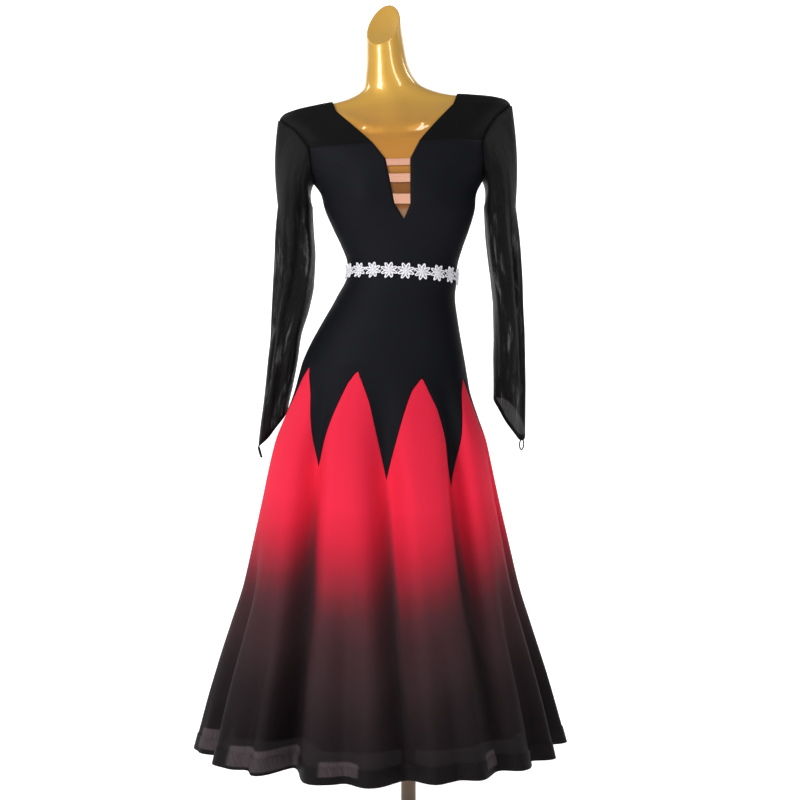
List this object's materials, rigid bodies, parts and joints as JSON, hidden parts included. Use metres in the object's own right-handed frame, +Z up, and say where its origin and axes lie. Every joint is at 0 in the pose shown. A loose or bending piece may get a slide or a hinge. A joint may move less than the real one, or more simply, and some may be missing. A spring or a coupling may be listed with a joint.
{
  "type": "ballroom dance dress on dress form",
  "caption": "Long-sleeved ballroom dress with deep V neck, flower waist trim and flared ombre godet skirt, worn by a limbless dress form on a pole stand.",
  "frame": {"origin": "middle of the underside of the stand's base, on the pole's axis", "axes": "+Z up, -Y towards the front of the dress, +X to the right as seen from the front"},
  "size_m": [0.6957, 0.6854, 1.614],
  "materials": {
    "black_jersey": "smooth matt stretch jersey with a faint sheen",
    "black_mesh": "fine semi-sheer stretch mesh",
    "ombre_chiffon": "chiffon dyed from bright red at the hips through wine to black at the hem",
    "black_lining": "matt lining cloth",
    "hem_braid": "woven crin braid, dark",
    "flower_trim": "white looped flower braid",
    "skin_elastic": "ribbed elastic",
    "black_elastic": "round elastic",
    "gold_form": "gold mirror plating",
    "bronze_stand": "dark bronze lacquer, satin"
  },
  "bodies": {
    "root": {"bodice_back": "black_jersey", "bodice_front": "black_jersey", "dress_form": "gold_form", "finger_loop_left": "black_elastic", "finger_loop_right": "black_elastic", "godet_1": "ombre_chiffon", "godet_2": "ombre_chiffon", "godet_3": "ombre_chiffon", "godet_4": "ombre_chiffon", "godet_5": "ombre_chiffon", "godet_6": "ombre_chiffon", "godet_7": "ombre_chiffon", "godet_8": "ombre_chiffon", "hem_braid": "hem_braid", "hip_back": "black_jersey", "hip_front": "black_jersey", "neck_band_lower": "skin_elastic", "neck_band_middle": "skin_elastic", "neck_band_upper": "skin_elastic", "sleeve_left": "black_mesh", "sleeve_right": "black_mesh", "stand_base": "bronze_stand", "stand_pole": "bronze_stand", "underskirt_1": "black_lining", "underskirt_2": "black_lining", "underskirt_3": "black_lining", "underskirt_4": "black_lining", "waist_trim": "flower_trim", "yoke_back_left": "black_mesh", "yoke_back_right": "black_mesh", "yoke_front_left": "black_mesh", "yoke_front_right": "black_mesh"}
  },
  "joints": []
}
